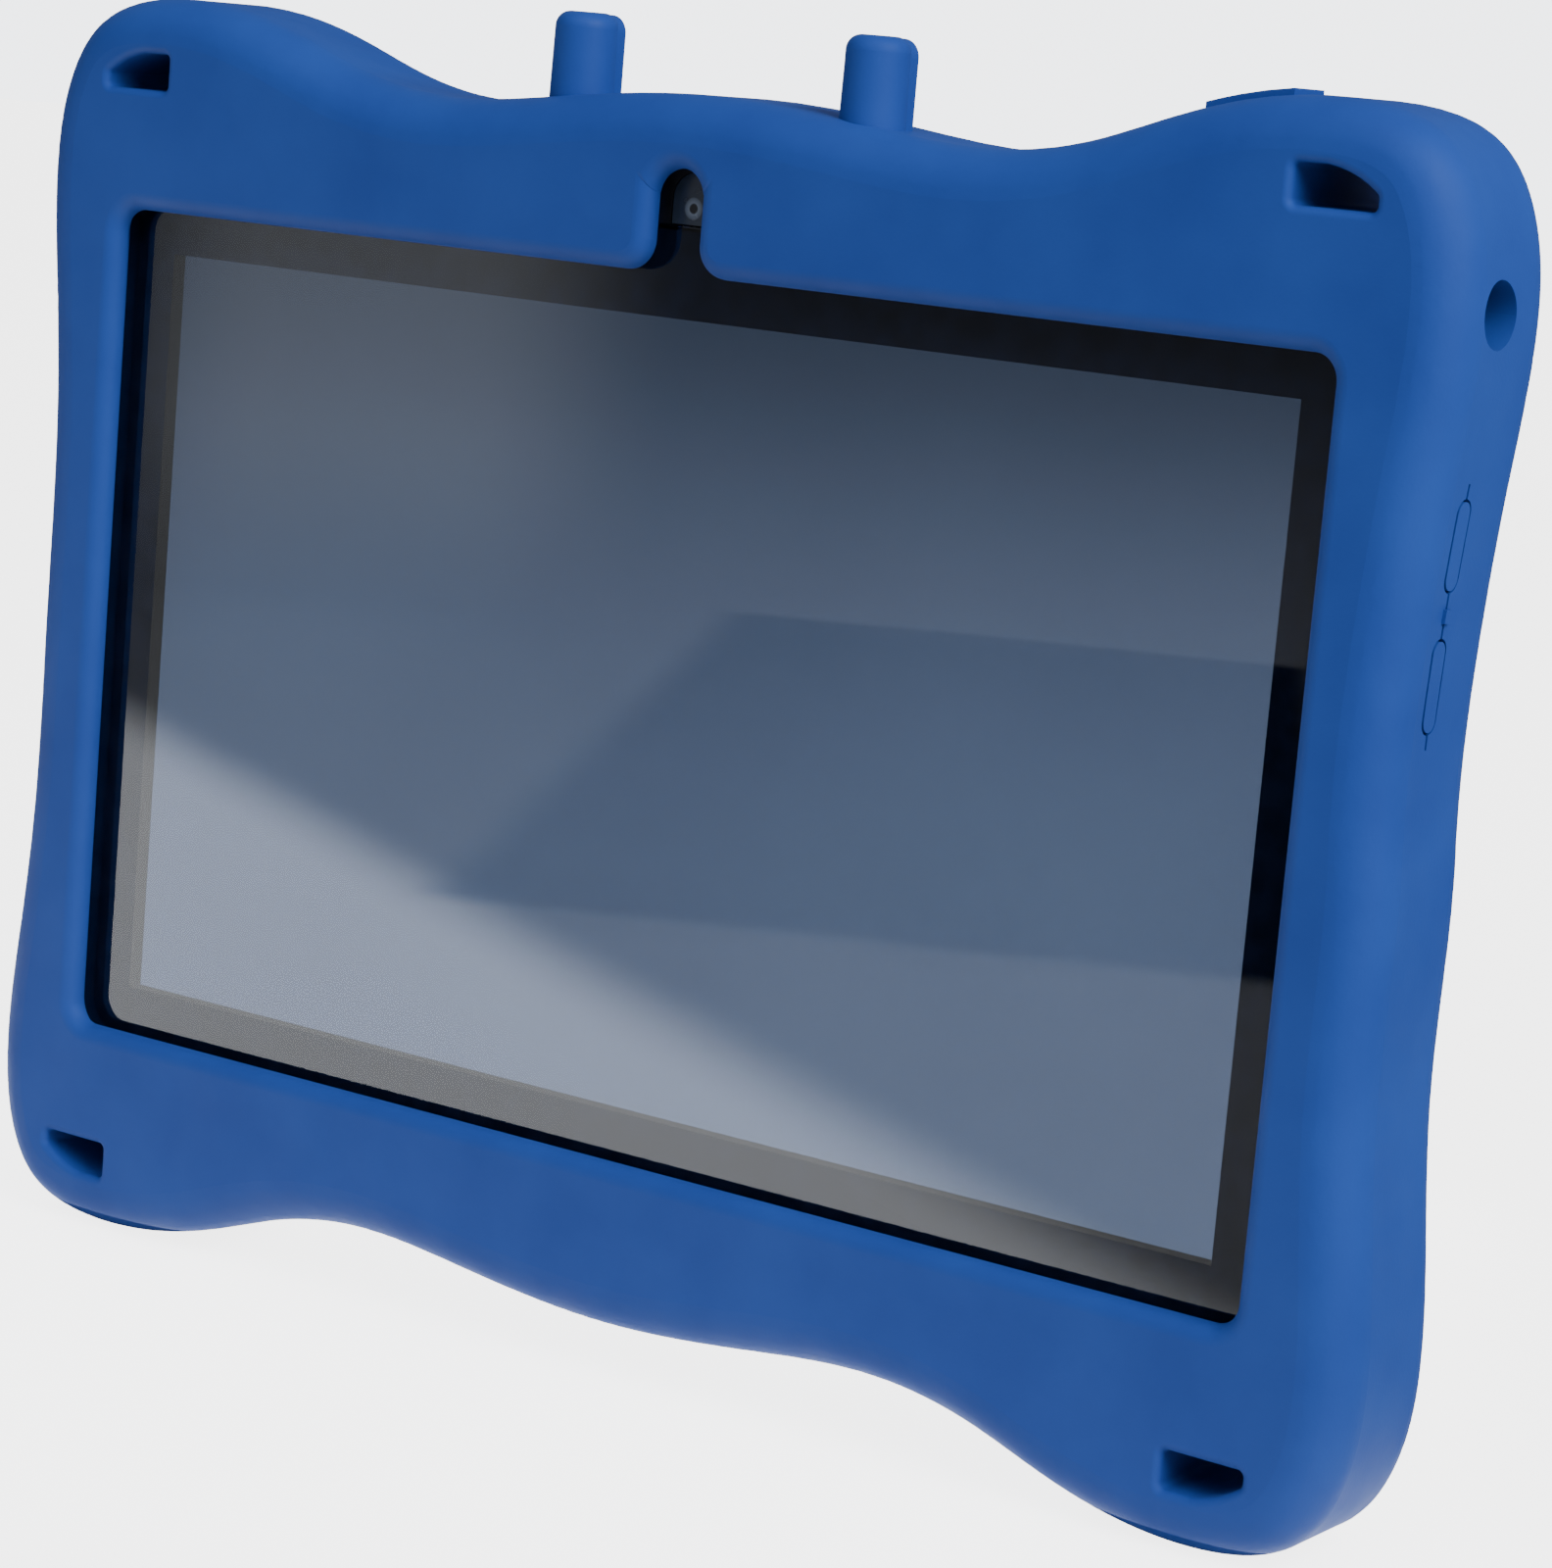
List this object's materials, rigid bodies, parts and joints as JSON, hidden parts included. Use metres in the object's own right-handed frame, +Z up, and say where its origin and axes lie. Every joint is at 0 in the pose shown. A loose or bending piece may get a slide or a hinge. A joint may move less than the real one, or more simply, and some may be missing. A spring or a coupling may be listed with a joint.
{
  "type": "kids tablet",
  "caption": "Seven-inch children's tablet in a wavy-edged soft silicone bumper with corner slots, antenna pegs and side keys.",
  "frame": {"origin": "middle of the bottom of the bounding box, under the bumper's two lower lobes, halfway through its thickness", "axes": "+X to the right seen from the front, along the length; +Y from the screen to the back, the thickness; +Z up, towards the pegs"},
  "size_m": [0.1912, 0.0206, 0.1527],
  "materials": {
    "silicone": "matte, soft touch",
    "shell_plastic": "moulded matte",
    "frame_plastic": "moulded satin",
    "screen_glass": "polished, black printed border",
    "adhesive_tape": "foam tape",
    "lcd_glass": "polarised film",
    "film": "white film",
    "clear_acrylic": "clear",
    "led_strip": "white strip",
    "tray_steel": "stamped",
    "flex_film": "polyimide film",
    "connector_plastic": "moulded",
    "board_laminate": "solder mask",
    "chip_epoxy": "moulded epoxy",
    "shield_can": "tinned",
    "screw_steel": "zinc plated",
    "switch_metal": "stamped",
    "key_plastic": "moulded matte",
    "plated_shell": "nickel plated",
    "battery_pouch": "laminated pouch",
    "lead_insulation": "PVC",
    "speaker_film": "film",
    "speaker_mesh": "woven",
    "camera_plastic": "moulded",
    "lens_glass": "coated",
    "camera_window": "polished"
  },
  "bodies": {
    "tablet": {"silicone_bumper": "silicone", "rear_shell": "shell_plastic", "front_frame": "frame_plastic", "touch_glass": "screen_glass", "glass_adhesive": "adhesive_tape", "lcd_panel": "lcd_glass", "diffuser_sheets": "film", "light_guide": "clear_acrylic", "led_bar": "led_strip", "lcd_tray": "tray_steel", "lcd_flex": "flex_film", "touch_flex": "flex_film", "flex_connectors": "connector_plastic", "main_board": "board_laminate", "processor": "chip_epoxy", "memory_chips": "chip_epoxy", "flash_chip": "chip_epoxy", "power_chip": "chip_epoxy", "wifi_module": "shield_can", "board_small_parts": "chip_epoxy", "board_screws": "screw_steel", "power_switch": "switch_metal", "volume_switches": "switch_metal", "headphone_jack": "connector_plastic", "micro_usb_port": "plated_shell", "card_slot": "plated_shell", "microphone": "switch_metal", "battery_cell": "battery_pouch", "battery_tape": "adhesive_tape", "battery_board": "board_laminate", "battery_leads": "lead_insulation", "speaker_frame": "connector_plastic", "speaker_cone": "speaker_film", "speaker_mesh": "speaker_mesh", "speaker_leads": "lead_insulation", "wifi_aerial": "flex_film", "aerial_lead": "lead_insulation", "front_camera": "camera_plastic", "front_camera_lens": "lens_glass", "front_camera_window": "camera_window", "rear_camera": "camera_plastic", "rear_camera_lens": "camera_plastic", "rear_camera_window": "camera_window"},
    "power_button": {"power_pad": "silicone", "power_key": "key_plastic"},
    "volume_button": {"volume_pad": "silicone", "volume_rocker": "key_plastic"}
  },
  "joints": [
    {"name": "power_press", "type": "slide", "parent": "tablet", "child": "power_button", "axis": [-1, 0, 0], "range_m": [0, 0.00035], "stiffness_N_per_m": 400},
    {"name": "volume_rock", "type": "hinge", "parent": "tablet", "child": "volume_button", "pos_m": [0.089, -0.00175, 0.0931], "axis": [0, 1, 0], "range_deg": [-1.5, 1.5], "stiffness_Nm_per_rad": 0.2}
  ]
}
